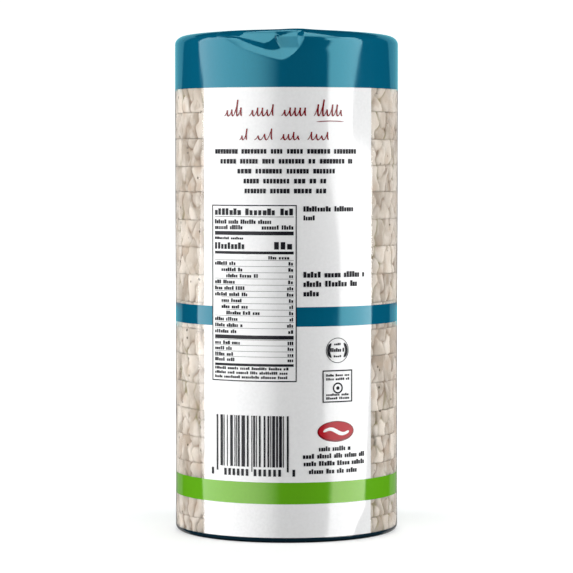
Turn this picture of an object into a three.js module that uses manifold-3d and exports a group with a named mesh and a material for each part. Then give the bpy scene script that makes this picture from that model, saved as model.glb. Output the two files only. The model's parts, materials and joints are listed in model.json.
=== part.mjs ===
// A pack of puffed rice cakes: a round column of thin discs in a tight film sleeve.
// The sleeve is closed by a crimped fin at each end, folded flat over the top and the base.
// At the rim the film is tucked in over the stack, which leaves a dent at the front and back.
// Millimetres, +Z up, the label panel faces -Y. The origin is the centre of the base.
import * as THREE from 'three';
import { mergeVertices } from 'three/addons/utils/BufferGeometryUtils.js';
import Module from 'manifold-3d';

// Driving dimensions of the sleeve.
const RADIUS = 45;
const RIM_HEIGHT = 200.5;
const SHOULDER_RADIUS = 4.4;
const FOOT_RADIUS = 2.2;
const TOP_DISH = 1.5;

// The flat ring that the pack stands on, and the hollow inside it.
const STANDING_RING_WIDTH = 5;
const BASE_HOLLOW = 1.4;
const BASE_SLOPE_WIDTH = 2;

// A tuck in the rim. Its lowest point is a little to one side, and its left side is long.
const TUCK_DIRECTION = -3;
const TUCK_LEFT = 29.5;
const TUCK_RIGHT = 12;
const TUCK_DEPTH = 7.6;
const TUCK_LEAN = 0.42;
const TUCK_RIM_SHIFT = 0.25;
const TUCK_LEFT_CURVE = 1.2;
const TUCK_RIGHT_CURVE = 1.8;
const TUCK_EDGE_ROUNDING = 1.4;

// The crimped fin that closes each end, lying folded towards +X. Its root is sunk in the end.
const FIN_LENGTH = 66;
const FIN_WIDTH = 12;
const FIN_THICKNESS = 0.8;
const FIN_RIB_HEIGHT = 0.25;
const FIN_RIBS = 6;
const FIN_ROOT = 1.2;

// Heights of the rings along the straight wall, at the edges of the printed bands.
const WALL_RINGS = [15.4, 23.9, 54, 84.9, 92.5, 135, 178];

// Fineness of the mesh.
const SEGMENTS = 96;
const FOOT_STEPS = 4;
const SHOULDER_STEPS = 8;
const FIN_STEPS = 20;
const TOP_FRACTIONS = [0.93, 0.84, 0.7, 0.52, 0.34, 0.16];
const HOLLOW_RADII = [10, 20, 29];

const FILM_COLOUR = 0xdfe3e0;

const wallTop = RIM_HEIGHT - SHOULDER_RADIUS;
const radians = THREE.MathUtils.degToRad;

// Height of the top of the straight wall in a direction, in degrees from -Y towards +X.
function wallTopAt(direction) {
  let height = wallTop;
  for (const centre of [TUCK_DIRECTION, TUCK_DIRECTION + 180]) {
    const turn = ((direction - centre + 540) % 360) - 180;
    const side = turn < 0 ? -turn / TUCK_LEFT : turn / TUCK_RIGHT;
    const curve = turn < 0 ? TUCK_LEFT_CURVE : TUCK_RIGHT_CURVE;
    height = Math.min(height, wallTop - TUCK_DEPTH * (1 - side ** curve));
  }
  return height;
}

// How far the rim lies inside the wall in a direction.
function rimInset(direction) {
  return SHOULDER_RADIUS + TUCK_RIM_SHIFT * (wallTop - wallTopAt(direction));
}

// Height of the top face: lowest at its centre, level with the rim at its edge.
function topHeight(radius) {
  const edge = RADIUS - SHOULDER_RADIUS;
  return RIM_HEIGHT - TOP_DISH * Math.max(0, 1 - (radius / edge) ** 2);
}

// A point of the shoulder, from 0 at the wall to 1 at the rim. Outside a tuck it is a
// quarter circle. Inside one it is a straight slope with a crisp lower edge.
function shoulderPoint(direction, part) {
  const low = wallTopAt(direction);
  const inset = rimInset(direction);
  const angle = part * Math.PI / 2;
  const round = [
    RADIUS - inset * (1 - Math.cos(angle)),
    low + (RIM_HEIGHT - low) * Math.sin(angle),
  ];
  const slopeTop = RIM_HEIGHT - TUCK_EDGE_ROUNDING;
  const rise = Math.min(part / 0.7, 1);
  const slope = [
    RADIUS - TUCK_LEAN * rise * (slopeTop - low),
    low + rise * (slopeTop - low),
  ];
  const over = Math.max(0, (part - 0.7) / 0.3) * Math.PI / 2;
  slope[0] += (RADIUS - inset - slope[0]) * (1 - Math.cos(over));
  slope[1] += (RIM_HEIGHT - slope[1]) * Math.sin(over);
  const mix = Math.min(1, (wallTop - low) / SHOULDER_RADIUS);
  return round.map((value, index) => value + (slope[index] - value) * mix);
}

// The rings of the sleeve from the base upwards. Each gives [radius, height] in a direction.
function sleeveRings() {
  const rings = HOLLOW_RADII.map((radius) => () => [radius, BASE_HOLLOW]);
  const outer = RADIUS - FOOT_RADIUS;
  const inner = outer - STANDING_RING_WIDTH;
  rings.push(() => [inner - BASE_SLOPE_WIDTH, BASE_HOLLOW]);
  rings.push(() => [inner, 0]);
  for (let step = 0; step <= FOOT_STEPS; step += 1) {
    const angle = (step / FOOT_STEPS) * Math.PI / 2;
    const radius = outer + FOOT_RADIUS * Math.sin(angle);
    rings.push(() => [radius, FOOT_RADIUS * (1 - Math.cos(angle))]);
  }
  for (const height of WALL_RINGS) {
    rings.push(() => [RADIUS, height]);
  }
  for (let step = 0; step <= SHOULDER_STEPS; step += 1) {
    rings.push((direction) => shoulderPoint(direction, step / SHOULDER_STEPS));
  }
  for (const fraction of TOP_FRACTIONS) {
    rings.push((direction) => {
      const radius = (RADIUS - rimInset(direction)) * fraction;
      return [radius, topHeight(radius)];
    });
  }
  return rings;
}

// The corners of every ring, then the centres of the base and the top.
function sleeveCorners(rings) {
  const positions = [];
  for (const ring of rings) {
    for (let segment = 0; segment < SEGMENTS; segment += 1) {
      const direction = (segment / SEGMENTS) * 360;
      const [radius, height] = ring(direction);
      const angle = radians(direction);
      positions.push(radius * Math.sin(angle), -radius * Math.cos(angle), height);
    }
  }
  positions.push(0, 0, BASE_HOLLOW, 0, 0, topHeight(0));
  return positions;
}

// The triangles between the rings, with a fan at each end.
function sleeveTriangles(ringCount) {
  const indices = [];
  const bottom = ringCount * SEGMENTS;
  const cap = bottom + 1;
  for (let segment = 0; segment < SEGMENTS; segment += 1) {
    const next = (segment + 1) % SEGMENTS;
    const last = bottom - SEGMENTS;
    indices.push(bottom, next, segment, cap, last + segment, last + next);
    for (let level = 0; level < last; level += SEGMENTS) {
      const above = level + SEGMENTS;
      indices.push(level + segment, level + next, above + next);
      indices.push(level + segment, above + next, above + segment);
    }
  }
  return indices;
}

// The closed surface of the sleeve without its fins.
function sleeveSurface() {
  const rings = sleeveRings();
  const corners = new THREE.Float32BufferAttribute(sleeveCorners(rings), 3);
  const surface = new THREE.BufferGeometry();
  surface.setAttribute('position', corners);
  surface.setIndex(sleeveTriangles(rings.length));
  return surface;
}

// The fin's outline across its length: x runs over its width, y is its height, ribs on top.
function finOutline() {
  const outline = new THREE.Shape();
  const pitch = FIN_WIDTH / FIN_RIBS;
  outline.moveTo(0, -FIN_ROOT);
  outline.lineTo(FIN_WIDTH, -FIN_ROOT);
  for (let rib = FIN_RIBS; rib > 0; rib -= 1) {
    outline.lineTo(rib * pitch, FIN_THICKNESS - FIN_RIB_HEIGHT);
    outline.lineTo((rib - 0.5) * pitch, FIN_THICKNESS);
  }
  outline.lineTo(0, FIN_THICKNESS - FIN_RIB_HEIGHT);
  outline.closePath();
  return outline;
}

// A fin along Y whose height above or below the end face follows a function of radius.
function fin(endHeight, up) {
  const settings = { depth: FIN_LENGTH, steps: FIN_STEPS, bevelEnabled: false };
  const geometry = new THREE.ExtrudeGeometry(finOutline(), settings);
  geometry.translate(0, 0, -FIN_LENGTH / 2);
  geometry.rotateX(Math.PI / 2);
  if (!up) {
    geometry.rotateY(Math.PI);
    geometry.translate(FIN_WIDTH, 0, 0);
  }
  const position = geometry.getAttribute('position');
  for (let index = 0; index < position.count; index += 1) {
    const radius = Math.hypot(position.getX(index), position.getY(index));
    position.setZ(index, position.getZ(index) + endHeight(radius));
  }
  return geometry;
}

const wasm = await Module();
wasm.setup();

// Turns a closed geometry into a solid for joining.
function toSolid(geometry) {
  const bare = geometry.clone();
  bare.deleteAttribute('normal');
  bare.deleteAttribute('uv');
  const merged = mergeVertices(bare, 1e-4);
  const mesh = new wasm.Mesh({
    numProp: 3,
    vertProperties: new Float32Array(merged.getAttribute('position').array),
    triVerts: new Uint32Array(merged.getIndex().array),
  });
  return new wasm.Manifold(mesh);
}

// Turns a joined solid back into a geometry.
function toGeometry(solid) {
  const mesh = solid.getMesh();
  const geometry = new THREE.BufferGeometry();
  geometry.setAttribute('position', new THREE.BufferAttribute(mesh.vertProperties, 3));
  geometry.setIndex(new THREE.BufferAttribute(mesh.triVerts, 1));
  geometry.computeVertexNormals();
  return geometry;
}

// The whole pack: the sleeve with a fin on its top and one in the hollow of its base.
function packMesh() {
  const solid = toSolid(sleeveSurface())
    .add(toSolid(fin(topHeight, true)))
    .add(toSolid(fin(() => BASE_HOLLOW, false)));
  const film = new THREE.MeshStandardMaterial({
    color: FILM_COLOUR,
    roughness: 0.25,
    metalness: 0,
  });
  const mesh = new THREE.Mesh(toGeometry(solid), film);
  mesh.name = 'pack';
  return mesh;
}

const ricePack = new THREE.Group();
ricePack.add(packMesh());

export default ricePack;
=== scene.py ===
"""A round film pack of puffed rice cakes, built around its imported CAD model.

The CAD pack is one closed solid. Here it becomes a film sleeve with clear side windows, the
stack of cakes inside it, the ink on its panels, and the crimped fins that close its ends.
Sizes are in millimetres and turned to metres when a mesh is made. A direction is an angle in
degrees round the pack, from -Y towards +X. An arc is a length along the wall from -Y.
"""

import json
import math

import bpy
import numpy as np
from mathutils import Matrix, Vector

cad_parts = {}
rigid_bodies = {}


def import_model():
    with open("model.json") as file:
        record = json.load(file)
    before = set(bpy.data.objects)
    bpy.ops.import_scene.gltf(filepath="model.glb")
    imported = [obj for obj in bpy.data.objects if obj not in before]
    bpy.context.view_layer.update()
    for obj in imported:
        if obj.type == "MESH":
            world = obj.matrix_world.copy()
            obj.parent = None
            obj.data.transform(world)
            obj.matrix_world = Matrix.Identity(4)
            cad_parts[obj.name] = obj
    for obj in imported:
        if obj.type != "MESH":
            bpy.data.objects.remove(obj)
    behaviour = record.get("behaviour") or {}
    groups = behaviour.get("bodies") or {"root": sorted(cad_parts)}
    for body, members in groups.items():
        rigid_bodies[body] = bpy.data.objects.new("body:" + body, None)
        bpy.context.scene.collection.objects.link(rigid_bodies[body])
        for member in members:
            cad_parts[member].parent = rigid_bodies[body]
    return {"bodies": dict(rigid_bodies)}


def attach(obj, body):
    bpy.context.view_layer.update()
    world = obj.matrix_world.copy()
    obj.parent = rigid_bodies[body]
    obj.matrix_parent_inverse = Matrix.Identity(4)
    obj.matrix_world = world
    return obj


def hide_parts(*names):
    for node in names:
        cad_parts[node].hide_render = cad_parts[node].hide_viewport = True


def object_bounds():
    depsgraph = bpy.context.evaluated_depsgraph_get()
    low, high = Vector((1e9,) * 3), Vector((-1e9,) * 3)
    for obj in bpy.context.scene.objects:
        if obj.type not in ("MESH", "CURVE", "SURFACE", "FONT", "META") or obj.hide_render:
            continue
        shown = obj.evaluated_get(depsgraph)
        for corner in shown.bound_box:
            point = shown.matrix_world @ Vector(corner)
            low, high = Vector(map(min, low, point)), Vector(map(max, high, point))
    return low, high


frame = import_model()
CAD_LOW, CAD_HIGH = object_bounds()
BODY = next(iter(frame["bodies"]))

MM = 0.001

# The sleeve, as the CAD model has it.
RADIUS = (CAD_HIGH.x - CAD_LOW.x) / 2 / MM
RIM_HEIGHT = 200.5
SHOULDER_RADIUS = 4.4
FOOT_RADIUS = 2.2
TOP_DISH = 1.5
STANDING_RING_WIDTH = 5.0
BASE_HOLLOW = 1.4
BASE_SLOPE_WIDTH = 2.0
WALL_TOP = RIM_HEIGHT - SHOULDER_RADIUS

# The rim sags a little at the sides, and a fold lifts it at the front and back.
RIM_SAG = 0.9
RIM_LIFT = 0.4
RIM_LIFT_TURN = 5.0
RIM_LIFT_WIDTH = 9.0

# The tuck in the rim: its lowest direction, how far it reaches to each side, and its slope.
TUCK_DIRECTION = -3.0
TUCK_LEFT = 29.5
TUCK_RIGHT = 12.0
TUCK_DEPTH = 7.6
TUCK_LEAN = 0.42
TUCK_RIM_SHIFT = 0.25
TUCK_LEFT_CURVE = 1.2
TUCK_RIGHT_CURVE = 1.8
TUCK_EDGE_ROUNDING = 1.4

# The flap folded down over each tuck. At a few turns: the heights of the foot and of the lip
# of its overhanging edge, and how far it stands out above the lip.
FLAP_TURNS = (-38.0, -26.0, -20.0, -14.8, -10.8, -8.6, -5.6, 9.0, 20.0, 32.0)
FLAP_FOOT = (197.8, 197.1, 195.2, 193.7, 192.8, 192.5, 192.4, 195.5, 196.6, 197.4)
FLAP_LIP = (198.0, 197.8, 196.7, 195.7, 194.9, 195.6, 197.7, 197.8, 197.9, 198.2)
FLAP_SIZE = (0.2, 0.9, 1.5, 1.8, 1.9, 1.9, 1.9, 0.9, 0.4, 0.0)

# The flat beside the flap's hooked end: it starts at a slanting line between two places.
FLAT_START = (-3.4, -6.2)
FLAT_HEIGHTS = (193.2, 197.7)
FLAT_TURNS = (-6.2, 9.0, 20.0, 32.0)
FLAT_SIZE = (0.75, 0.65, 0.4, 0.0)

# Up to this height every ring of the sleeve is level. Above it they follow the tucks.
LEVEL_TOP = 186.0

# Heights of the printed bands and the directions of the label panel's sides.
CAP_LOW = 178.0
STRIPE_HEIGHTS = (84.9, 92.5)
GREEN_HEIGHTS = (15.4, 23.9)
LABEL_LEFT = -46.1
LABEL_RIGHT = 47.8
BACK = 180.0
SEAM_DIRECTION = 146.0
SEAM_WIDTH = 9.0
SEAM_RISE = 0.12

# The crimped fins.
FIN_LENGTH = 66.0
FIN_WIDTH = 12.0
FIN_THICKNESS = 0.35
FIN_RIB_PITCH = 1.2
FIN_RIB_HEIGHT = 0.16
FIN_TOOTH_PITCH = 2.0
FIN_TOOTH_DEPTH = 0.7

# The stack of cakes.
CAKE_COUNT = 18
CAKE_RADIUS = 44.72
CAKE_PITCH = 10.7
FIRST_CAKE = 6.6
STACK_BOTTOM = 1.6
STACK_TOP = 188.3
CAKE_UNEVENNESS = 0.4
CAKE_TILT = 0.5
CAKE_GAP = 0.05

# The puffed grains on a cake's side: their usual width, and how far they bulge. Then the
# width of the grains on its faces, and the radii of a face's rows.
GRAIN_WIDTH = 6.4
GRAIN_ASPECT = 1.4
GRAIN_BULGE = 0.75
FACE_GRAIN = 6.0
FACE_RADII = (7, 15, 23, 30, 36, 41, 43.9)

# How far ink stands proud of the film, for the three layers, and how long a face of it may be.
INK_LOW = (0.02, 0.06)
INK_HIGH = (0.07, 0.12)
INK_TOP = (0.13, 0.17)
INK_STEP = 1.4
INK_RISE = 6.0

# The box of figures: its side arcs, its lowest and highest heights, and the arcs of its text.
BOX = (-31.6, 4.0, 63.3, 132.3)
BOX_TEXT = (-30.2, 2.8)

# Places of the round marks, each an arc and a height, and the height of the back's disc.
SEAL = (20.7, 75.4)
BADGE = (20.8, 60.6)
OVAL = (20.2, 43.6)
DISC_HEIGHT = 128.0

# The camera: its lens in millimetres, its distance in widths of the pack, and the heights of
# the camera and of its aim in heights of the pack.
LENS = 167.9
CAMERA_DISTANCE = 12.035
CAMERA_HEIGHT = 0.7496
AIM_HEIGHT = 0.490

# The stage. Its glow rises with distance, from the pack's foot to the edge of the shadow, so the dimmer
# glow round the foot is a painted shade.
STAGE_RADII = (1.3, 2.2)
STAGE_HEIGHT = 2.6
STAGE_GLOW = (0.415, 0.95)
STAGE_GLOW_REACH = (0.055, 0.26)

# The soft boxes that the gloss mirrors. Heights are in metres, and sides are the directions of
# a box's left and right sides at those heights. The back box is cut at its breaks into four
# parts. The top box has a range of directions and a range of tilts above level.
PANEL_DISTANCE = 1.1
LEFT_HEIGHTS = (-0.12, 0.02, 0.207, 0.231)
LEFT_SIDES = ((-94, -103, -92, -100), (-5, -5, -5, -5))
RIGHT_HEIGHTS = (-0.15, -0.13, -0.105, -0.05, -0.015, 0.013, 0.08, 0.15, 0.165, 0.2, 0.246)
RIGHT_SIDES = ((39, 41, 45, 34, 43, 52, 53, 39, 39, 40.5, 40.5),
               (73, 85, 88, 91, 94, 96, 97, 98, 69, 70.5, 82.7))
BACK_HEIGHTS = (0.207, 0.246)
BACK_SIDES = ((133.0, 126.5), (224.5, 231.0))
BACK_BREAKS = (-0.6, 0.015, 0.031, 0.205, 0.9)
COOL_TINT = (0.42, 1.3, 1.5)
WARM_TINT = (0.72, 0.69, 0.66)
TOP_BOX = (-54.0, 64.0)
TOP_BOX_TILT = (22.0, 84.0)
LEFT_GLOW = 8.4
RIGHT_GLOW = 8.8
BACK_GLOW = 0.55
TOP_GLOW = 8.0

# The soft boxes that light the matt surfaces: place, width and height in metres, and watts.
LIGHTS = {
    "left_light": ((-1.15, -0.2, 0.2), 0.7, 0.9, 13.9),
    "right_light": ((1.16, -0.14, 0.2), 0.7, 0.9, 12.6),
    "front_light": ((0.0, -1.1, 0.5), 1.5, 0.9, 8.9),
    "rear_light": ((0.25, 1.3, 0.8), 1.6, 1.2, 17.0),
}
WORLD_LEVEL = 0.01


# -------- shape of the sleeve

def turn_from(direction, centre):
    """The turn from a centre direction, between -180 and 180 degrees."""
    return (np.asarray(direction, float) - centre + 180.0) % 360.0 - 180.0


def wall_top(direction):
    """Height of the top of the straight wall: lower in the tucks at the front and back."""
    height = np.full(np.shape(direction), WALL_TOP)
    for centre in (TUCK_DIRECTION, TUCK_DIRECTION + BACK):
        turn = turn_from(direction, centre)
        left = (np.clip(-turn, 0, None) / TUCK_LEFT) ** TUCK_LEFT_CURVE
        right = (np.clip(turn, 0, None) / TUCK_RIGHT) ** TUCK_RIGHT_CURVE
        height = np.minimum(height, WALL_TOP - TUCK_DEPTH * (1 - left - right))
    return height


def rim_inset(direction):
    """How far the rim lies inside the wall."""
    return SHOULDER_RADIUS + TUCK_RIM_SHIFT * (WALL_TOP - wall_top(direction))


def rim_height(direction):
    """Height of the rim, with its sag at the sides and the lift of the folds."""
    height = RIM_HEIGHT - RIM_SAG * np.sin(np.radians(direction)) ** 2
    for centre in (RIM_LIFT_TURN, RIM_LIFT_TURN + BACK):
        height += RIM_LIFT * np.exp(-(turn_from(direction, centre) / RIM_LIFT_WIDTH) ** 2)
    return height


def shoulder(direction, part):
    """Radius and height from the wall, part 0, to the rim, part 1.

    Outside a tuck it is a quarter circle. Inside one it is a slope with a crisp lower edge.
    """
    low, rim = wall_top(direction), rim_height(direction)
    inset = rim_inset(direction)
    angle = part * math.pi / 2
    round_radius = RADIUS - inset * (1 - math.cos(angle))
    round_height = low + (rim - low) * math.sin(angle)
    slope_top = rim - TUCK_EDGE_ROUNDING
    rise = min(part / 0.7, 1)
    over = max(0, (part - 0.7) / 0.3) * math.pi / 2
    slope_radius = RADIUS - TUCK_LEAN * rise * (slope_top - low)
    slope_height = low + rise * (slope_top - low)
    slope_radius += (RADIUS - inset - slope_radius) * (1 - math.cos(over))
    slope_height += (rim - slope_height) * math.sin(over)
    mix = np.clip((WALL_TOP - low) / SHOULDER_RADIUS * 1.3, 0, 1)
    radius = round_radius + (slope_radius - round_radius) * mix
    height = round_height + (slope_height - round_height) * mix
    return radius + flap(direction, height), height


def flap(direction, height):
    """How far the folded layer in each tuck stands out, with its hooked end and flat."""
    proud = np.zeros(np.shape(direction))
    for centre in (0.0, BACK):
        turn = turn_from(direction, centre)
        lines = (FLAP_FOOT, FLAP_LIP, FLAP_SIZE)
        foot, lip, size = (np.interp(turn, FLAP_TURNS, line) for line in lines)
        inside = (turn > FLAP_TURNS[0]) & (turn < FLAP_TURNS[-1])
        fold = size * np.clip((height - foot) / (lip - foot), 0, 1)
        rise = (height - FLAT_HEIGHTS[0]) / (FLAT_HEIGHTS[1] - FLAT_HEIGHTS[0])
        flat = np.interp(turn, FLAT_TURNS, FLAT_SIZE) * np.clip(rise, 0, 1)
        start = np.interp(height, FLAT_HEIGHTS, FLAT_START)
        softness = 0.5 + 5.0 * np.clip(height - FLAT_HEIGHTS[1], 0, 2)
        share = np.clip((turn - start) / softness, 0, 1)
        proud += np.where(inside, fold + (flat - fold) * share, 0)
    return proud


def top_relief(x, y):
    """Folds in the top face: creases that fan out from the two ends of the fin."""
    relief = np.zeros(np.shape(x))
    rng = np.random.default_rng(11)
    for side in (-1, 1):
        along = side * np.asarray(y, float) - FIN_LENGTH / 2 + 4
        angle = np.degrees(np.arctan2(x, along))
        reach = np.hypot(x, along)
        for crease in (-118, -88, -62, -34, 14, 40, 66, 96, 124):
            turn = (angle - crease - rng.uniform(-6, 6) + 180) % 360 - 180
            width = rng.uniform(3.0, 5.5)
            size = rng.uniform(0.16, 0.42) * rng.choice((-1, 1))
            swell = np.clip(reach / 9, 0, 1) * np.exp(-reach / 38)
            relief += size * swell * np.exp(-(turn / width) ** 2)
    return relief


def crease_line(arc, height, start, end, width, size):
    """A soft straight crease in the wall between two places, each an arc and a height."""
    run, climb = end[0] - start[0], end[1] - start[1]
    length = math.hypot(run, climb)
    along = ((arc - start[0]) * run + (height - start[1]) * climb) / length ** 2
    across = ((arc - start[0]) * climb - (height - start[1]) * run) / length
    taper = np.clip(np.minimum(along, 1 - along) * 4, 0, 1)
    return size * taper * np.exp(-(across / width) ** 2)


def wall_relief(direction, height):
    """How far the film stands out from the plain wall: seam, slack between cakes, creases."""
    arc = np.radians(turn_from(direction, 0)) * RADIUS
    arc_back = np.radians(turn_from(direction, BACK)) * RADIUS
    relief = 0.02 * np.sin(arc / 7.3 + 2 * np.sin(height / 23.0)) * np.sin(height / 17.0)
    relief += crease_line(arc, height, (15.0, 15.2), (20.0, 8.0), 0.8, 0.10)
    relief += crease_line(arc, height, (34.9, 14.5), (27.6, 2.6), 1.1, 0.14)
    relief += crease_line(arc_back, height, (-20.0, 3.0), (-31.0, 15.0), 1.3, 0.12)
    relief += crease_line(arc_back, height, (24.0, 3.0), (33.0, 13.0), 1.3, 0.10)
    seam = np.radians(np.abs(turn_from(direction, SEAM_DIRECTION))) * RADIUS
    relief += SEAM_RISE * np.clip((SEAM_WIDTH / 2 - seam) / 0.9, 0, 1)
    ends = np.clip(np.minimum(height - FOOT_RADIUS, wall_top(direction) - height) / 3, 0, 1)
    return relief * ends


# -------- mesh helpers

def spaced(breaks, steps):
    """Values from the first break up to the last, with each gap cut to its step or less."""
    values = []
    for low, high, step in zip(breaks, breaks[1:], steps):
        count = max(1, math.ceil((high - low) / step))
        values.extend(np.linspace(low, high, count, endpoint=False))
    return np.array(values)


def to_points(direction, radius, height):
    """Points in metres from directions, radii and heights."""
    angle = np.radians(direction)
    x, y = radius * np.sin(angle), -radius * np.cos(angle)
    return np.stack([x, y, height + 0 * angle], axis=-1) * MM


def new_object(name, data):
    """An object in the scene, with its mesh, light or camera."""
    item = bpy.data.objects.new(name, data)
    bpy.context.scene.collection.objects.link(item)
    return item


def make_object(name, points, faces, materials, indices=None, crease_angle=40.0):
    """A smooth shaded mesh object whose edges sharper than an angle stay crisp."""
    mesh = bpy.data.meshes.new(name)
    mesh.from_pydata(np.asarray(points).reshape(-1, 3).tolist(), [], faces)
    for material in materials:
        mesh.materials.append(material)
    if indices is not None:
        mesh.polygons.foreach_set("material_index", np.asarray(indices, np.int32))
    mesh.shade_smooth()
    mesh.update()
    mesh.set_sharp_from_angle(angle=math.radians(crease_angle))
    return new_object(name, mesh)


def ring_faces(rings, columns):
    """Faces of a surface of rings, closed round, with a fan at each end."""
    faces = []
    bottom = rings * columns
    top = bottom + 1
    last = bottom - columns
    for column in range(columns):
        after = (column + 1) % columns
        faces.append((bottom, after, column))
        for level in range(0, last, columns):
            above = level + columns
            faces.append((level + column, level + after, above + after, above + column))
        faces.append((top, last + column, last + after))
    return faces


def add_value(piece, name, values):
    """A number on each corner of a piece, for its material to read."""
    attribute = piece.data.attributes.new(name, "FLOAT", "POINT")
    attribute.data.foreach_set("value", np.asarray(values, np.float32))


# -------- the sleeve

def sleeve_directions():
    """Directions of the sleeve's columns: close together in the tucks."""
    breaks = [centre + turn for centre in (0, BACK) for turn in (LABEL_LEFT, -40, 14, LABEL_RIGHT)]
    return spaced([*breaks, LABEL_LEFT + 360], (1.25, 0.4, 1.25, 1.25) * 2)


def sleeve_rings(directions):
    """Radius and height of each ring, from the base hollow to the middle of the top."""
    ones = np.ones(len(directions))
    outer = RADIUS - FOOT_RADIUS
    inner = outer - STANDING_RING_WIDTH
    rings = []

    def add(radius, height):
        rings.append((radius * ones, height * ones))

    for radius in np.linspace(3, inner - BASE_SLOPE_WIDTH, 12):
        add(radius, BASE_HOLLOW)
    for part in (0.33, 0.67, 1.0):
        height = BASE_HOLLOW * (1 + math.cos(part * math.pi)) / 2
        add(inner - BASE_SLOPE_WIDTH * (1 - part), height)
    for angle in np.linspace(0, math.pi / 2, 7):
        add(outer + FOOT_RADIUS * math.sin(angle), FOOT_RADIUS * (1 - math.cos(angle)))
    breaks = [FOOT_RADIUS, *GREEN_HEIGHTS, *STRIPE_HEIGHTS, CAP_LOW, LEVEL_TOP]
    for height in spaced(breaks, (1.1, 1.7, 2.0, 1.9, 2.0, 1.3))[1:]:
        add(RADIUS + wall_relief(directions, height * ones), height)
    top = wall_top(directions)
    for part in np.linspace(0, 1, 5)[:-1]:
        height = LEVEL_TOP + (top - LEVEL_TOP) * part
        add(RADIUS + wall_relief(directions, height), height)
    for part in np.linspace(0, 1, 46):
        add(*shoulder(directions, part))
    rim = RADIUS - rim_inset(directions)
    for fraction in np.linspace(1, 0, 27)[1:-1]:
        x, y = to_points(directions, rim * fraction, 0)[:, :2].T / MM
        fade = min(1, 6 * (1 - fraction)) * min(1, 4 * fraction)
        edge = RIM_HEIGHT + (rim_height(directions) - RIM_HEIGHT) * fraction ** 3
        height = edge - TOP_DISH * (1 - fraction ** 2) + top_relief(x, y) * fade
        add(rim * fraction, height)
    return rings


def sleeve_region(directions, radius, height):
    """Which film a place shows: 0 cap, 1 white, 2 green, 3 clear, 4 foot in teal film painted near black
    as shade, 5 top face.
    """
    in_label = np.zeros(np.shape(height), bool)
    middle, half = (LABEL_LEFT + LABEL_RIGHT) / 2, (LABEL_RIGHT - LABEL_LEFT) / 2
    for centre in (middle, middle + BACK):
        in_label |= np.abs(turn_from(directions, centre)) < half
    region = np.where(in_label, 1, 3)
    region[(height > GREEN_HEIGHTS[0]) & (height < GREEN_HEIGHTS[1])] = 2
    region[(height > STRIPE_HEIGHTS[0]) & (height < STRIPE_HEIGHTS[1])] = 0
    region[height > CAP_LOW] = 0
    region[height < FOOT_RADIUS] = 4
    region[(height > CAP_LOW) & (radius < RADIUS - rim_inset(directions) - 0.2)] = 5
    return region


def make_sleeve(materials):
    """The closed film sleeve, in six films."""
    directions = sleeve_directions()
    rings = sleeve_rings(directions)
    points = [to_points(directions, radius, height) for radius, height in rings]
    points += [[[0, 0, BASE_HOLLOW * MM]], [[0, 0, (RIM_HEIGHT - TOP_DISH) * MM]]]
    points = np.concatenate(points)
    faces = ring_faces(len(rings), len(directions))
    centres = np.array([points[list(face)].mean(axis=0) for face in faces]) / MM
    around = np.degrees(np.arctan2(centres[:, 0], -centres[:, 1]))
    region = sleeve_region(around, np.hypot(centres[:, 0], centres[:, 1]), centres[:, 2])
    return make_object("film_sleeve", points, faces, materials, region, 28.0)


def make_fin(name, film, up):
    """A crimped fin lying folded on the top, or in the hollow of the base."""
    across = spaced([0, FIN_WIDTH], [FIN_RIB_PITCH / 4])
    across = np.append(across, FIN_WIDTH)
    along = np.linspace(-FIN_LENGTH / 2, FIN_LENGTH / 2, 134)
    x, y = np.meshgrid(across, along)
    tooth = np.abs((y / FIN_TOOTH_PITCH) % 1 - 0.5) * 2
    x = x - (x / FIN_WIDTH) ** 6 * FIN_TOOTH_DEPTH * tooth
    rib = FIN_RIB_HEIGHT * np.cos(2 * math.pi * x / FIN_RIB_PITCH)
    lift = 0.30 * np.sin(y / 9.0 + 1.0) * (x / FIN_WIDTH) ** 2
    if up:
        rim = RADIUS - SHOULDER_RADIUS
        rest = RIM_HEIGHT - TOP_DISH * (1 - np.clip(np.hypot(x, y) / rim, 0, 1) ** 2)
        low = rest + 0.22 + np.maximum(lift, -0.1)
    else:
        low = BASE_HOLLOW - 0.62 + 0.3 * lift
    lower = np.stack([x, y, low + rib / 2], axis=-1)
    upper = np.stack([x, y, low + rib / 2 + FIN_THICKNESS], axis=-1)
    points = np.concatenate([upper.reshape(-1, 3), lower.reshape(-1, 3)]) * MM
    return make_object(name, points, slab_faces(len(along), len(across)), [film])


def grid_faces(rows, columns):
    """Faces of a grid of points."""
    grid = np.arange(rows * columns).reshape(rows, columns)
    corners = (grid[:-1, :-1], grid[:-1, 1:], grid[1:, 1:], grid[1:, :-1])
    return np.stack(corners, axis=-1).reshape(-1, 4).tolist()


def slab_faces(rows, columns):
    """Faces of a closed slab: an upper grid, then a lower grid, joined round the edge."""
    faces = []
    lower = rows * columns
    for square in grid_faces(rows, columns):
        faces.append(square)
        faces.append([lower + index for index in reversed(square)])
    grid = np.arange(lower).reshape(rows, columns)
    edge = [*grid[0], *grid[1:, -1], *grid[-1, -2::-1], *grid[-2:0:-1, 0]]
    for start, end in zip(edge, edge[1:] + edge[:1]):
        faces.append([int(corner) for corner in (end, start, lower + start, lower + end)])
    return faces


# -------- the cakes

def cake_directions():
    """Directions of a cake's columns: close together behind the clear windows."""
    margin = 4.0
    first = LABEL_RIGHT - margin
    breaks = (first, BACK + LABEL_LEFT + margin, BACK + first, 360 + LABEL_LEFT + margin, 360 + first)
    return spaced(breaks, (0.48, 3.0, 0.48, 3.0))


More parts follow.
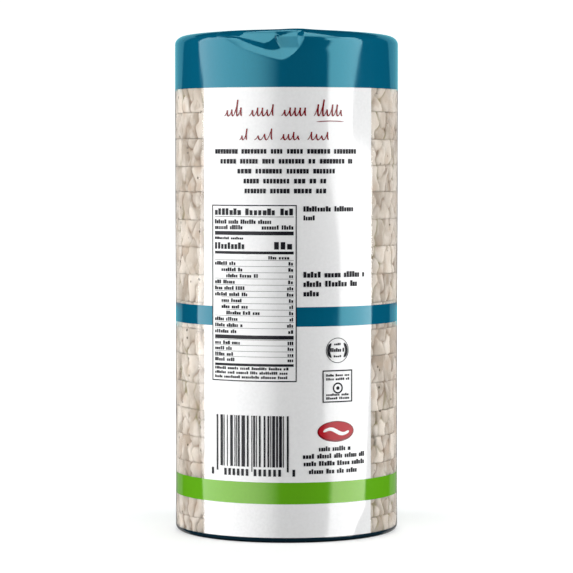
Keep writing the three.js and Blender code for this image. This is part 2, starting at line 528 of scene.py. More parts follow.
def side_grains(rng, bottom, top):
    """The grains pressed against a cake's side: arc, height, size and tilts of each.

    Some fill the cake's whole thickness. Others share it, one over the other.
    """
    count = round(2 * math.pi * RADIUS / GRAIN_WIDTH)
    middle, slack = (bottom + top) / 2, 0.18 * (top - bottom)
    grains = []
    for index in range(count):
        arc = (index + rng.uniform(-0.4, 0.4)) * GRAIN_WIDTH
        if rng.random() < 0.4:
            places = [(arc, middle + rng.uniform(-slack, slack), rng.uniform(1.0, 1.4))]
        else:
            lower, upper = rng.uniform(0.2, 3.2), rng.uniform(0.2, 3.2)
            shift, size = rng.uniform(-2.6, 2.6), rng.uniform(0.7, 1.1)
            places = [(arc - shift, bottom + lower, size), (arc + shift, top - upper, 1.8 - size)]
        grains += [(*place, *rng.uniform(-1, 1, 2)) for place in places]
    return np.array(grains)


def ripple(rng, turn, waves):
    """A smooth random line round the pack, between 0 and 1, made of a few waves."""
    total = sum(np.sin(count * turn + rng.uniform(0, 6.28)) for count in waves)
    return np.clip(0.5 + 0.5 * total / math.sqrt(len(waves)), 0, 1)


def pressed_relief(arc, height, grains, sway):
    """Relief of the grains on a cake's side, how deep in a crease, and which grain."""
    round_length = 2 * math.pi * RADIUS
    turn = arc / RADIUS
    bent = arc + 0.75 * np.sin(height / 1.5 + sway + 11 * turn) + 0.35 * np.sin(height + 31 * turn)
    lifted = height + 0.8 * np.sin(23 * turn + sway) + 0.3 * np.sin(61 * turn - sway)
    run = (bent[:, None] - grains[None, :, 0] + round_length / 2) % round_length
    run = (run - round_length / 2) / GRAIN_WIDTH
    climb = (lifted[:, None] - grains[None, :, 1]) / (GRAIN_WIDTH * GRAIN_ASPECT)
    distance = np.hypot(run, climb) / grains[None, :, 2]
    order = np.argsort(distance, axis=1)[:, :3]
    near = np.take_along_axis(distance, order, axis=1)
    which = order[:, 0]
    gap, junction = near[:, 1] - near[:, 0], near[:, 2] - near[:, 0]
    run, climb = (np.take_along_axis(field, which[:, None], axis=1)[:, 0] for field in (run, climb))
    tilt = 0.45 * (grains[which, 3] * run + grains[which, 4] * climb)
    hole = np.exp(-(junction / 0.15) ** 2)
    relief = tilt - GRAIN_BULGE * np.exp(-gap / 0.22) - 0.4 * hole
    return relief, gap, hole, which, grains[which, 3] * run - grains[which, 4] * climb


def face_spots(rng):
    """Middles of the grains on a flat face, in x and y."""
    spots = []
    for ring in range(8):
        count = max(1, round(2 * math.pi * ring))
        for index in range(count):
            angle = (index + rng.uniform(-0.3, 0.3)) / count * 2 * math.pi
            reach = (ring + rng.uniform(-0.3, 0.3)) * FACE_GRAIN
            spots.append((reach * math.cos(angle), reach * math.sin(angle)))
    return np.array(spots)


def face_relief(x, y, spots):
    """Height of the puffed grains on a flat face, and how deep in a crease a place is."""
    distance = np.hypot(x[:, None] - spots[None, :, 0], y[:, None] - spots[None, :, 1])
    near = np.partition(distance / FACE_GRAIN, 1, axis=1)
    crease = np.exp(-((near[:, 1] - near[:, 0]) / 0.14) ** 2)
    return -0.55 * crease - 0.35 * near[:, 0] ** 2, crease


def side_shares(thickness):
    """Shares of a cake's thickness for the rows of its side: close together at its edges."""
    edge = np.array([0, 0.12, 0.28, 0.5, 0.8, 1.2]) / thickness
    middle = np.linspace(edge[-1], 1 - edge[-1], math.ceil((thickness - 2.4) / 0.48) + 1)
    return np.concatenate([edge[:-1], middle, 1 - edge[-2::-1]])


def face_rows(rng, directions, radii, level, sign):
    """Rows of points on a cake's flat face: radius, height, crease darkness and tone. The crease darkness
    is partly the grain's brown and partly painted shade.
    """
    spots = face_spots(rng)
    rows = []
    for radius in radii:
        x, y = to_points(directions, radius, 0)[:, :2].T / MM
        relief, crease = face_relief(x, y, spots)
        rows.append((radius, level + sign * relief, 0.6 * crease, np.full(len(directions), 0.5)))
    return rows


def side_rows(rng, directions, bottom, top):
    """Rows of points on a cake's side, pressed against the film."""
    turn, sway = np.radians(directions), rng.uniform(0, 6.28)
    grains = side_grains(rng, bottom, top)
    tones = rng.random(len(grains))
    stain_and_shade, seam_low, seam_high = (ripple(rng, turn, (17, 31, 53)) for seam in range(3))
    rows = []
    for share in side_shares(top - bottom):
        height = bottom + (top - bottom) * share
        relief, gap, hole, which, side = pressed_relief(turn * RADIUS, height, grains, sway)
        edge, seam = min((height - bottom, seam_low), (top - height, seam_high), key=lambda end: end[0])
        radius = CAKE_RADIUS + relief - (0.1 + 0.35 * seam) * math.exp(-(edge / 0.35) ** 2)
        # Creases, the soft edges beside them, the pits where grains meet and the cake's edges at the
        # seams are darkened: partly their own brown, partly painted shade.
        crease = np.exp(-(gap / (0.04 + 0.09 * stain_and_shade)) ** 2) + 0.28 * np.exp(-gap / 0.16)
        shade = crease * (0.3 + 0.5 * stain_and_shade) + 1.1 * hole * stain_and_shade
        shade += (0.08 + 0.55 * seam) * math.exp(-(edge / 0.22) ** 2)
        tone = np.clip(tones[which] + 0.45 * side, 0, 1)
        rows.append((np.minimum(radius, CAKE_RADIUS + 0.1), height, np.clip(shade, 0, 1.3), tone))
    return rows


def make_cake(index, low, high, material):
    """One puffed rice cake between two seams: each a height and a tilt across the pack."""
    rng = np.random.default_rng(500 + index)
    directions = cake_directions()
    bottom, top = low[0] + CAKE_GAP, high[0] - CAKE_GAP
    side = side_rows(rng, directions, bottom, top)
    rows = face_rows(rng, directions, FACE_RADII, bottom, -1) + side
    rows += face_rows(rng, directions, FACE_RADII[::-1], top, 1)
    turn = np.radians(directions)
    low_lean, high_lean = (seam[1] * np.sin(turn + math.radians(seam[2])) for seam in (low, high))
    points, creases, tones = [], [], []
    for radius, height, crease, tone in rows:
        share = np.clip((height - bottom) / (top - bottom), 0, 1)
        lean = low_lean * (1 - share) + high_lean * share
        points.append(to_points(directions, radius, height + lean))
        creases.append(crease)
        tones.append(tone)
    points += [[[0, 0, (bottom + 0.3) * MM]], [[0, 0, (top - 0.3) * MM]]]
    faces = ring_faces(len(rows), len(directions))
    name = f"rice_cake_{index + 1:02d}"
    cake = make_object(name, np.concatenate(points), faces, [material], None, 60.0)
    # The crease value is painted shade together with the creases' own brown.
    add_value(cake, "crease", np.append(np.concatenate(creases), [0, 0]))
    add_value(cake, "grain", np.append(np.concatenate(tones), [0.5, 0.5]))
    return cake


def make_cakes(material):
    """The whole stack, each cake a little thicker or thinner than the next, or tilted."""
    rng = np.random.default_rng(29)
    heights = STACK_BOTTOM + FIRST_CAKE + CAKE_PITCH * np.arange(CAKE_COUNT - 1)
    heights += rng.uniform(-CAKE_UNEVENNESS, CAKE_UNEVENNESS, CAKE_COUNT - 1)
    seams = [(height, rng.uniform(0, CAKE_TILT), rng.uniform(0, 360)) for height in heights]
    seams = [(STACK_BOTTOM, 0.0, 0.0), *seams, (STACK_TOP, 0.0, 0.0)]
    return [make_cake(index, seams[index], seams[index + 1], material) for index in range(CAKE_COUNT)]


# -------- ink on the panels

class Ink:
    """Collects thin closed plates that follow the wall, and makes them one piece."""

    def __init__(self, name, layer=INK_LOW, centre=0.0):
        self.name, self.layer, self.centre = name, layer, centre
        self.points, self.faces, self.count = [], [], 0

    def _plate(self, arc, height):
        """Adds the plate over a grid of places on the wall."""
        direction = np.degrees(arc / RADIUS) + self.centre
        base = RADIUS + wall_relief(direction, height)
        upper = to_points(direction, base + self.layer[1], height)
        lower = to_points(direction, base + self.layer[0], height)
        for face in slab_faces(*arc.shape):
            self.faces.append([self.count + corner for corner in face])
        self.points += [upper.reshape(-1, 3), lower.reshape(-1, 3)]
        self.count += 2 * arc.size

    def block(self, left, right, low, high):
        """A plain rectangle."""
        across = np.linspace(left, right, math.ceil((right - left) / INK_STEP) + 1)
        up = np.linspace(low, high, math.ceil((high - low) / INK_RISE) + 1)
        self._plate(*np.meshgrid(across, up))

    def frame(self, left, right, low, high, width):
        """A rectangle's outline."""
        self.block(left, right, high - width, high)
        self.block(left, right, low, low + width)
        self.block(left, left + width, low + width, high - width)
        self.block(right - width, right, low + width, high - width)

    def ring(self, arc, height, outer, inner, wide=1.0, parts=48):
        """A ring, or a disc if the inner radius is small. wide stretches it sideways."""
        angle = np.linspace(0, 2 * math.pi, parts + 1)
        reach = np.linspace(inner, outer, math.ceil(wide * (outer - inner) / INK_STEP) + 2)
        turn, radius = np.meshgrid(angle, reach)
        self._plate(arc + wide * radius * np.sin(turn), height + radius * np.cos(turn))

    def stroke(self, arcs, heights, width):
        """A brush stroke along a line of places, thinner at its ends and where it climbs."""
        run, climb = np.gradient(arcs), np.gradient(heights)
        length = np.hypot(run, climb)
        aside = np.stack([climb / length, -run / length]) * width / 2
        place = np.arange(len(arcs))
        aside *= np.minimum(1, np.minimum(place, place[::-1]) / 3 + 0.35)
        aside *= 0.85 - 0.35 * np.clip(climb / length, -0.6, 1)
        arc = np.stack([arcs - aside[0], arcs + aside[0]])
        height = np.stack([heights - aside[1], heights + aside[1]])
        self._plate(arc, height)

    def words(self, rng, left, right, low, high, word=(3.0, 9.0), gap=0.9, pitch=0.95, short=0.74):
        """A line that stands in for words: groups of small plain blocks, some a little lower."""
        place = left
        while place < right - 0.8:
            end = min(place + rng.uniform(*word), right)
            starts = np.linspace(place, end, max(2, round((end - place) / pitch) + 1))
            step = starts[1] - starts[0]
            for start in starts[:-1]:
                top = high if rng.random() < 0.4 else low + short * (high - low)
                self.block(start, start + rng.uniform(0.68, 0.88) * step, low, top)
            place = end + gap

    def make(self, ink):
        """The piece, in its ink."""
        return make_object(self.name, np.concatenate(self.points), self.faces, [ink])


def brush_line(ink, rng, left, right, base, tall, width, gaps):
    """A hand-brushed scribble in a few pieces, of uneven waves, where a headline would be."""
    stops = [left, *[left + (right - left) * share for share in gaps], right]
    for start, end in zip(stops, stops[1:]):
        end -= 2.2 if end < right else 0
        waves = max(2, round((end - start) / 2.3))
        share = np.linspace(0, 1, 18 * waves)
        turn = share * waves * 2 * math.pi
        tops = rng.choice((0.35, 0.5, 0.7, 1.0), waves, p=(0.3, 0.3, 0.2, 0.2))
        lift = np.interp(turn / 2 / math.pi - 0.5, np.arange(waves), tops)
        heights = base + tall * lift * (0.5 - 0.5 * np.cos(turn))
        sway = 0.3 * np.sin(turn) + 0.2 * (heights - base)
        ink.stroke(start + share * (end - start - 0.8) + sway, heights, width)


def headline(ink):
    """The two brushed lines at the top of the label, with a stroke under the first."""
    rng = np.random.default_rng(3)
    brush_line(ink, rng, -25.6, 23.4, 166.9, 6.4, 0.62, (0.22, 0.48, 0.74))
    brush_line(ink, rng, -18.9, 17.6, 157.6, 4.4, 0.56, (0.17, 0.45, 0.74))
    across = np.linspace(11.8, 23.3, 16)
    ink.stroke(across, 164.6 + 0.3 * np.sin((across - 11.8) / 4), 0.42)


def story(ink):
    """Five centred lines of small words under the headline."""
    rng = np.random.default_rng(4)
    for line, half in enumerate((30.0, 27.4, 19.7, 17.1, 16.7)):
        low = 152.2 - 3.85 * line
        ink.words(rng, -half, half, low, low + 1.8, (2.5, 11.0), 1.5, 1.35, 1.0)


def table_lines(ink, text):
    """The ruled box of figures: title, bars of three weights, rows and footnotes."""
    rng = np.random.default_rng(5)
    left, right = BOX_TEXT
    ink.frame(*BOX, 0.45)
    text.words(rng, left, right, 128.3, 130.9, (9.0, 13.0), 1.6, 1.7)
    ink.block(left, right, 127.55, 127.75)
    text.words(rng, left, -5.7, 124.9, 126.6, (4, 9), 0.9)
    text.words(rng, left, -17.5, 122.7, 124.4, (5, 8), 0.9)
    text.words(rng, -9.7, right, 122.7, 124.4, (5, 9), 0.9)
    ink.block(left, right, 120.5, 122.0)
    text.words(rng, left, -16.0, 118.8, 119.8, (4, 7), 0.8, 0.8)
    text.words(rng, left, -14.7, 115.0, 117.6, (12, 16), 1.0, 1.6)
    text.words(rng, -4.8, right, 115.0, 117.9, (7, 8), 0.6, 2.4)
    ink.block(left, right, 113.1, 114.2)
    text.words(rng, -7.1, right, 111.1, 112.4, (3, 5), 0.8)
    indents = (0, 3.2, 5.4, 0, 0, 0, 3.2, 3.2, 5.4, 0, 0, 0)
    for row, indent in enumerate(indents):
        line = 110.75 - 2.42 * row
        ink.block(left + indent, right, line - 0.07, line + 0.07)
        length = rng.uniform(9, 17)
        text.words(rng, left + indent, left + indent + length, line - 2.0, line - 0.55, (3, 7), 0.8)
        text.words(rng, right - rng.uniform(1.6, 2.8), right, line - 2.0, line - 0.55, (3, 4), 0.8)
    ink.block(left, right, 79.9, 81.4)
    for line in (79.6, 77.4, 75.1, 73.0):
        ink.block(left, right, line - 0.07, line + 0.07)
        text.words(rng, left, left + rng.uniform(7, 12), line - 1.9, line - 0.5, (3, 7), 0.8)
        text.words(rng, right - 2.4, right, line - 1.9, line - 0.5, (3, 4), 0.8)
    ink.block(left, right, 69.3, 70.3)
    for line in (67.9, 66.2, 64.5):
        text.words(rng, left, right - rng.uniform(0, 4), line, line + 1.1, (3, 8), 0.7, 0.8)


def side_notes(ink):
    """The short columns of words to the right of the box, and the lines at the foot."""
    rng = np.random.default_rng(6)
    ink.words(rng, 6.6, 29.0, 129.7, 131.8, (8, 14), 1.4, 1.15)
    ink.words(rng, 6.6, 11.2, 126.3, 128.2, (4, 5), 1.0, 1.0)
    for low, right in ((104.0, 33.6), (100.4, 29.9), (96.7, 14.9)):
        ink.words(rng, 6.6, right, low, low + 2.3, (5, 10), 1.3, 1.35)
    address = ((36.0, 12.8, 26.8), (33.2, 6.4, 33.8), (30.3, 6.7, 33.8), (27.2, 8.8, 31.0))
    for low, left, right in address:
        ink.words(rng, left, right, low, low + 1.9, (3, 8), 1.0, 1.05)


def code_bars(ink):
    """A row of upright bars of made-up widths. It encodes nothing."""
    rng = np.random.default_rng(7)
    place = -29.5
    while place < 0.6:
        width = rng.choice((0.38, 0.76, 1.14, 1.5), p=(0.35, 0.3, 0.2, 0.15))
        long = place < -27.6 or place > -1.0 or abs(place + 14.2) < 0.8
        ink.block(place, place + width, 28.0 if long else 29.9, 50.0)
        place += width + rng.choice((0.38, 0.76, 1.14), p=(0.45, 0.35, 0.2))
    for start in (-32.0, *np.arange(-25.8, -16.0, 1.9), *np.arange(-13.0, -3.0, 1.95), 2.3):
        ink.block(start, start + 1.1, 26.3, 29.0)


def seals(ink):
    """A ring with a thick arc inside it at each side, and a framed badge with a ring."""
    rng = np.random.default_rng(8)
    arc, height = SEAL
    ink.ring(arc, height, 4.95, 4.7)
    angle = np.linspace(0.25, 0.75, 14) * math.pi
    for side in (-1, 1):
        ink.stroke(arc + 3.9 * side * np.sin(angle), height + 3.9 * np.cos(angle), 1.1)
    for low, half, tall in ((77.4, 1.5, 0.9), (74.8, 3.2, 1.5), (72.7, 1.7, 0.8)):
        ink.words(rng, arc - half, arc + half, low, low + tall, (3, 7), 0.5, 0.8)
    ink.frame(14.3, 27.4, 55.0, 67.7, 0.5)
    ink.ring(*BADGE, 2.2, 1.6)
    ink.ring(*BADGE, 0.7, 0.02, 1.0, 20)
    for low in (65.2, 63.7, 57.6, 56.2):
        ink.words(rng, 15.8, 26.0, low, low + 0.95, (3, 6), 0.7, 0.8)


def oval(edge, middle, wave):
    """A red oval with a darker edge and a white wave across it, each in its own ink."""
    arc, height = OVAL
    edge.ring(arc, height, 4.1, 0.05, 1.95, 64)
    middle.ring(arc, height + 0.15, 3.55, 0.05, 2.08, 64)
    across = np.linspace(0, 1, 40)
    wave.stroke(arc - 5.6 + 11.2 * across, height + np.sin(across * 6.28), 1.5)


def make_label(inks):
    """All the ink on the label panel, with the white ground of its box."""
    names = ("words", "box_lines", "bars", "seals", "headline", "oval")
    words, lines, bars, badge, head, disc = (Ink("ink_" + name, INK_HIGH) for name in names)
    edge, ground = Ink("ink_oval_edge", INK_LOW), Ink("ink_box_ground", INK_LOW)
    wave = Ink("ink_oval_wave", INK_TOP)
    story(words)
    side_notes(words)
    table_lines(lines, words)
    code_bars(bars)
    seals(badge)
    headline(head)
    oval(edge, disc, wave)
    ground.block(*BOX)
    pieces = [ink.make(inks["black"]) for ink in (words, lines, bars, badge)]
    pieces += [head.make(inks["maroon"]), edge.make(inks["maroon"]), disc.make(inks["red"])]
    return pieces + [ground.make(inks["white"]), wave.make(inks["white"])]


def make_back_label(inks):
    """A plain design for the hidden panel: a disc with a ring and leaves, and ink blocks."""
    rng = np.random.default_rng(9)
    disc = Ink("back_disc", INK_LOW, BACK)
    disc.ring(0.0, DISC_HEIGHT, 23.0, 0.05, 1.0, 96)
    rim = Ink("back_ring", INK_HIGH, BACK)
    rim.ring(0.0, DISC_HEIGHT, 20.6, 19.8, 1.0, 96)
    leaves = Ink("back_leaves", INK_HIGH, BACK)
    for angle in np.radians(range(-54, 55, 18)):
        leaves.ring(14.5 * math.sin(angle), DISC_HEIGHT - 7 + 14.5 * math.cos(angle), 3.0, 0.05, 0.45, 32)
    head = Ink("back_headline", INK_HIGH, BACK)
    brush_line(head, rng, -22.0, 22.0, 160.5, 6.0, 1.0, (0.45,))
    words = Ink("back_words", INK_HIGH, BACK)
    for line, half in enumerate((24.0, 20.0, 13.0)):
        low = 74.0 - 5.2 * line
        words.words(rng, -half, half, low, low + 2.5, (4, 10), 1.4, 1.5)
    for line, half in enumerate((16.0, 12.0)):
        low = 41.0 - 4.4 * line
        words.words(rng, -half, half, low, low + 2.0, (4, 9), 1.2, 1.2)
    pieces = [disc.make(inks["cap"]), rim.make(inks["white"]), leaves.make(inks["green"])]
    return pieces + [head.make(inks["red"]), words.make(inks["black"])]


# -------- materials

class Nodes:
    """Short ways to add and link shader nodes."""

    def __init__(self, name):
        self.material = bpy.data.materials.new(name)
        self.material.use_nodes = True
        self.tree = self.material.node_tree
        self.tree.nodes.clear()
        self.output = self.tree.nodes.new("ShaderNodeOutputMaterial")

    def add(self, kind, settings=None, **sockets):
        node = self.tree.nodes.new("ShaderNode" + kind)
        for key, value in (settings or {}).items():
            setattr(node, key, value)
        for key, value in sockets.items():
            self.put(node, key.replace("_", " "), value)
        return node

    def put(self, node, socket, value):
        target = node.inputs[socket]
        if isinstance(value, bpy.types.NodeSocket):
            self.tree.links.new(value, target)
        else:
            target.default_value = value

    def place(self):
        """Positions on the object, in metres."""
        return self.add("TexCoord").outputs["Object"]

    def attribute(self, name):
        """A number that the mesh carries on its corners."""
        return self.add("Attribute", {"attribute_name": name}).outputs["Fac"]

    def noise(self, scale, detail=3.0, stretch=(1, 1, 1)):
        mapping = self.add("Mapping", Vector=self.place(), Scale=stretch)
        noise = self.add("TexNoise", Vector=mapping.outputs[0], Scale=scale, Detail=detail)
        return noise.outputs["Fac"]

    def spread(self, value, low, high, to_low=0.0, to_high=1.0):
        ends = {"From_Min": low, "From_Max": high, "To_Min": to_low, "To_Max": to_high}
        return self.add("MapRange", {"clamp": True}, Value=value, **ends).outputs["Result"]

    def mix(self, share, first, second):
        """A mix of two colours. The node has its colours in sockets 6 and 7."""
        node = self.add("Mix", {"data_type": "RGBA"})
        for index, value in ((0, share), (6, first), (7, second)):
            self.put(node, index, value)
        return node.outputs[2]

    def blend(self, share, first, second):
        """A mix of two shaders."""
        node = self.add("MixShader", Fac=share)
        self.put(node, 1, first.outputs[0])
        self.put(node, 2, second.outputs[0])
        return node

    def bump(self, height, distance, strength=1.0, normal=None):
        node = self.add("Bump", Height=height, Distance=distance, Strength=strength)
        if normal is not None:
            self.put(node, "Normal", normal)
        return node.outputs["Normal"]

    def times(self, first, second):
        node = self.add("Math", {"operation": "MULTIPLY"})
        self.put(node, 0, first)
        self.put(node, 1, second)
        return node.outputs[0]

    def finish(self, shader):
        self.tree.links.new(shader.outputs[0], self.output.inputs["Surface"])
        return self.material


def colour(red, green, blue):
    return (red, green, blue, 1.0)


def scaled(base, factor):
    return (*[min(1.0, value * factor) for value in base[:3]], 1.0)


def film_bump(nodes):
    """Faint unevenness of stretched film, longer along the pack than round it."""
    broad = nodes.noise(38.0, 2.0, (1, 1, 0.35))
    fine = nodes.noise(420.0, 2.0, (1, 1, 0.6))
    normal = nodes.bump(broad, 0.00010, 0.55)
    return nodes.bump(fine, 0.000006, 0.35, normal)


def printed_film(name, base, tint, specular=0.5, roughness=0.07):
    """Opaque ink under glossy film: faint mottling in the colour and the gloss."""
    nodes = Nodes(name)
    mottle = nodes.spread(nodes.noise(900.0, 4.0), 0.3, 0.7)
    cloud = nodes.spread(nodes.noise(26.0, 2.0), 0.35, 0.65)
    ink = nodes.mix(mottle, scaled(base, 0.965), scaled(base, 1.035))
    ink = nodes.mix(cloud, ink, nodes.mix(0.5, ink, scaled(base, 1.05)))
    shader = nodes.add("BsdfPrincipled", Base_Color=ink, IOR=1.5, Specular_Tint=tint)
    nodes.put(shader, "Roughness", nodes.spread(mottle, 0, 1, roughness * 0.85, roughness * 1.25))
    nodes.put(shader, "Specular IOR Level", specular)
    nodes.put(shader, "Normal", film_bump(nodes))
    return nodes.finish(shader)


def clear_film():
    """Clear film: mostly see-through, with a gloss and a faint milky haze."""
    nodes = Nodes("clear_film")
    normal = film_bump(nodes)
    clear = nodes.add("BsdfTransparent", Color=colour(0.985, 0.985, 0.98))
    gloss = nodes.add("BsdfGlossy", Color=colour(1, 1, 1), Roughness=0.06, Normal=normal)
    haze = nodes.add("BsdfDiffuse", Color=colour(0.93, 0.94, 0.93), Normal=normal)
    cloud = nodes.spread(nodes.noise(60.0, 3.0, (1, 1, 0.4)), 0.3, 0.7, 0.02, 0.07)
    fresnel = nodes.add("Fresnel", IOR=1.42, Normal=normal)
    milky = nodes.blend(cloud, clear, haze)
    return nodes.finish(nodes.blend(fresnel.outputs[0], milky, gloss))


def rice():
    """Puffed grain: cream with a tone for each grain, small bran specks, and creases darkened brown,
    partly their own colour and partly painted shade.
    """
    nodes = Nodes("rice_cake")
    crease, grain = nodes.attribute("crease"), nodes.attribute("grain")
    cloud = nodes.noise(190.0, 4.0, (1, 1, 0.7))
    fibre = nodes.noise(1100.0, 3.0, (1, 1, 0.2))
    base = nodes.mix(grain, colour(0.45, 0.382, 0.312), colour(0.85, 0.787, 0.714))
    pale = nodes.spread(cloud, 0.48, 0.66, 0.0, 0.75)
    base = nodes.mix(pale, base, colour(0.83, 0.78, 0.725))
    warm = nodes.spread(nodes.noise(120.0, 2.0), 0.52, 0.68, 0.0, 0.55)
    base = nodes.mix(warm, base, colour(0.575, 0.45, 0.345))
    shade = nodes.spread(fibre, 0.3, 0.7, 0.0, 0.16)
    base = nodes.mix(shade, base, colour(0.36, 0.31, 0.25))
    # The crease value darkens creases, pits and seams towards brown and olive: partly their own colour,
    # partly painted shade.
    kind = nodes.spread(nodes.noise(70.0, 1.0), 0.48, 0.56)
    stain_and_shade = nodes.mix(kind, colour(0.25, 0.17, 0.11), colour(0.23, 0.20, 0.07))
    base = nodes.mix(nodes.spread(crease, 0.05, 1.2, 0.0, 0.85), base, stain_and_shade)
    cells = nodes.add("TexVoronoi", {"feature": "F1"}, Vector=nodes.place(), Scale=240.0)
    spot = nodes.spread(cells.outputs["Distance"], 0.10, 0.17, 1.0, 0.0)
    chosen = nodes.add("SeparateColor", Color=cells.outputs["Color"])
    speck = nodes.times(spot, nodes.spread(chosen.outputs[0], 0.45, 0.50, 0.0, 0.9))
    base = nodes.mix(speck, base, colour(0.085, 0.065, 0.035))
    normal = nodes.bump(cloud, 0.0006, 0.45)
    normal = nodes.bump(fibre, 0.00012, 0.4, normal)
    shader = nodes.add("BsdfPrincipled", Base_Color=base, Roughness=0.8, Normal=normal)
    nodes.put(shader, "Specular IOR Level", 0.25)
    return nodes.finish(shader)


def make_inks():
    """The printed films and inks by name."""
    teal, teal_gloss = colour(0.001, 0.102, 0.184), colour(0.23, 0.72, 0.80)
    green, green_gloss = colour(0.122, 0.405, 0.011), colour(0.96, 1.0, 0.66)
    white, plain = colour(0.872, 0.875, 0.877), colour(1, 1, 1)
    return {
        "cap": printed_film("cap_film", teal, teal_gloss),
        "top": printed_film("top_film", teal, teal_gloss, 0.01, 0.25),
        "white": printed_film("white_film", white, plain, 0.38),
        "green": printed_film("green_film", green, green_gloss, 0.34),
        # The foot's film is the pack's teal darkened to near black: painted shade on the rounded foot and
        # the base.
        "foot": printed_film("foot_film_painted_shade", colour(0.006, 0.022, 0.035), plain),
        "black": printed_film("black_ink", colour(0.014, 0.014, 0.018), plain, 0.08, 0.1),
        "red": printed_film("red_ink", colour(0.46, 0.012, 0.022), plain, 0.12, 0.1),
        "maroon": printed_film("maroon_ink", colour(0.20, 0.004, 0.010), plain, 0.2, 0.1),
    }


# -------- stage, light and camera

def make_stage():
    """A pale floor that turns up into a pale wall all round. Only the camera sees it. It glows, less near
    the pack, which paints a soft shade round the foot.
    """
    floor_radius, wall_radius = STAGE_RADII
    turn = wall_radius - floor_radius
    profile = [(0.02, 0.0), (0.4, 0.0), (floor_radius, 0.0)]
    for angle in np.linspace(0, math.pi / 2, 13)[1:]:
        profile.append((floor_radius + turn * math.sin(angle), turn * (1 - math.cos(angle))))
    profile.append((wall_radius, STAGE_HEIGHT))
    columns = 96
    directions = np.arange(columns) * 360 / columns
    points = [to_points(directions, radius / MM, height / MM) for radius, height in profile]
    faces = [tuple(range(columns))]
    for low in range(0, (len(profile) - 1) * columns, columns):
        for column in range(columns):
            here, after = low + column, low + (column + 1) % columns
            faces.append((here, here + columns, after + columns, after))
    nodes = Nodes("pale_floor")
    tone = nodes.mix(nodes.noise(6.0, 3.0), colour(0.55, 0.55, 0.55), colour(0.57, 0.57, 0.57))
    shader = nodes.add("BsdfPrincipled", Base_Color=tone, Roughness=0.9)
    nodes.put(shader, "Emission Color", colour(1, 1, 1))
    # Dimmer glow near the pack: painted shade round the foot.
    away = nodes.add("VectorMath", {"operation": "LENGTH"}, Vector=nodes.place())
    glow = nodes.spread(away.outputs["Value"], *STAGE_GLOW_REACH, *STAGE_GLOW)
    nodes.put(shader, "Emission Strength", glow)
    stage = make_object("stage_floor", points, faces, [nodes.finish(shader)])
    hide_from(stage, "glossy", "diffuse", "shadow")
    return stage


def hide_from(item, *rays):
    """Takes an object or a light out of the sight of some kinds of ray."""
    for ray in rays:
        setattr(item, "visible_" + ray, False)


def make_panel(name, outline, sides, heights, power, glow, tint=(1, 1, 1)):
    """A curved soft box round the pack, with a left and a right side at each outline height.

    glow gives a place's brightness from its direction and its share of the width.
    """
    share, height = np.meshgrid(np.linspace(0, 1, 49), np.linspace(*heights, 101))
    left, right = (np.interp(height, outline, side) for side in sides)
    direction = left + share * (right - left)
    points = to_points(direction, PANEL_DISTANCE / MM, height / MM)
    return glow_piece(name, points, glow(direction, share), power, tint)


def glow_piece(name, points, glow, power, tint=(1, 1, 1)):
    """A grid of points that shines, seen by the gloss alone."""
    nodes = Nodes(name)
    strength = nodes.times(nodes.attribute("glow"), power)
    emission = nodes.add("Emission", Color=colour(*tint), Strength=strength)
    panel = make_object(name, points, grid_faces(*glow.shape), [nodes.finish(emission)])
    add_value(panel, "glow", glow.ravel())
    hide_from(panel, "camera", "diffuse", "shadow")
    return panel


def left_glow(direction, share):
    """Bright from the far left, and fading to nothing by the middle."""
    away = np.clip(-6 - direction, 0, None) / 17
    return 0.79 * (1 - np.exp(-away ** 1.3)) * (1 - 0.1 * np.clip((-direction - 70) / 30, 0, 1))


def right_glow(direction, share):
    """A soft left side and a crisp right side."""
    return np.clip(share / 0.12, 0, 1) * (0.9 + 0.1 * share)


def even_glow(direction, share):
    """The same brightness all over."""
    return np.ones(share.shape)


def make_top_box():
    """A soft box over the front, for the tucks and the shoulder. It is dim low down."""
    share, rise = np.meshgrid(np.linspace(0, 1, 41), np.linspace(0, 1, 31))
    direction = TOP_BOX[0] + share * (TOP_BOX[1] - TOP_BOX[0])
    tilt = np.radians(TOP_BOX_TILT[0] + rise * (TOP_BOX_TILT[1] - TOP_BOX_TILT[0]))
    reach = PANEL_DISTANCE / MM
    points = to_points(direction, reach * np.cos(tilt), RIM_HEIGHT + reach * np.sin(tilt))
    return glow_piece("top_box", points, 0.4 + 0.6 * np.clip(rise / 0.3, 0, 1), TOP_GLOW)


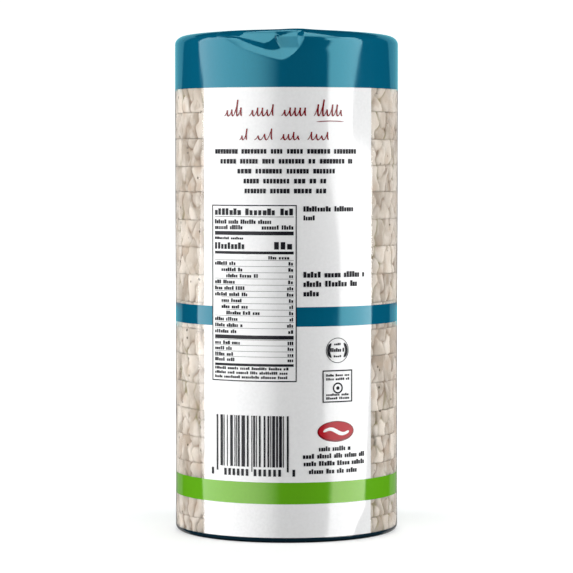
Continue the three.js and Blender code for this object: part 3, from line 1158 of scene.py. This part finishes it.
def make_lights():
    """Mirrored soft boxes, soft boxes that light the matt surfaces, and a dim room."""
    make_panel("left_box", LEFT_HEIGHTS, LEFT_SIDES, (-0.28, 0.95), LEFT_GLOW, left_glow)
    make_panel("right_box", RIGHT_HEIGHTS, RIGHT_SIDES, (-0.45, 0.95), RIGHT_GLOW, right_glow)
    for part, tint in enumerate((WARM_TINT, COOL_TINT, WARM_TINT, COOL_TINT)):
        name, heights = f"back_box_{part}", BACK_BREAKS[part:part + 2]
        make_panel(name, BACK_HEIGHTS, BACK_SIDES, heights, BACK_GLOW, even_glow, tint)
    make_top_box()
    for name, settings in LIGHTS.items():
        add_light(name, *settings)
    world = bpy.data.worlds.new("dim_room")
    world.use_nodes = True
    background = world.node_tree.nodes["Background"]
    background.inputs["Color"].default_value = colour(1, 1, 1)
    background.inputs["Strength"].default_value = WORLD_LEVEL
    bpy.context.scene.world = world
    bpy.context.scene.view_settings.view_transform = "Standard"


def add_light(name, place, width, tall, power):
    """A soft box at a place in metres, facing the middle of the pack. The gloss skips it."""
    data = bpy.data.lights.new(name, "AREA")
    data.shape, data.size, data.size_y, data.energy = "RECTANGLE", width, tall, power
    light = new_object(name, data)
    light.location = place
    towards = Vector((0, 0, RIM_HEIGHT / 2 * MM)) - light.location
    light.rotation_euler = towards.to_track_quat("-Z", "Y").to_euler()
    hide_from(light, "camera", "glossy")
    return light


def make_camera():
    """A long lens in front of the pack, a little above its middle height and looking down."""
    height = CAD_HIGH.z - CAD_LOW.z
    data = bpy.data.cameras.new("camera")
    data.sensor_width = 36.0
    data.lens = LENS
    data.clip_start, data.clip_end = 0.05, 20.0
    camera = new_object("camera", data)
    distance = CAMERA_DISTANCE * (CAD_HIGH.x - CAD_LOW.x)
    camera.location = (0, -distance, CAD_LOW.z + CAMERA_HEIGHT * height)
    aim = CAD_LOW.z + AIM_HEIGHT * height
    camera.rotation_euler = (math.pi / 2 - math.atan2(camera.location.z - aim, distance), 0, 0)
    bpy.context.scene.camera = camera


# -------- the scene


def main():
    """Makes every piece with its material, and attaches each to the body it rides on."""
    make_camera()
    make_stage()
    make_lights()
    inks = make_inks()
    films = [inks["cap"], inks["white"], inks["green"], clear_film(), inks["foot"], inks["top"]]
    sleeve = make_sleeve(films)
    # The base fin takes the foot's near-black film, which is painted shade.
    fins = [make_fin("fin_top", inks["top"], True), make_fin("fin_base", inks["foot"], False)]
    cakes = make_cakes(rice())
    label = make_label(inks) + make_back_label(inks)
    for slot, pieces in (("sleeve", [sleeve, *fins]), ("rice_cake", cakes), ("print", label)):
        for piece in pieces:
            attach(piece, BODY)
    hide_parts("pack")


main()
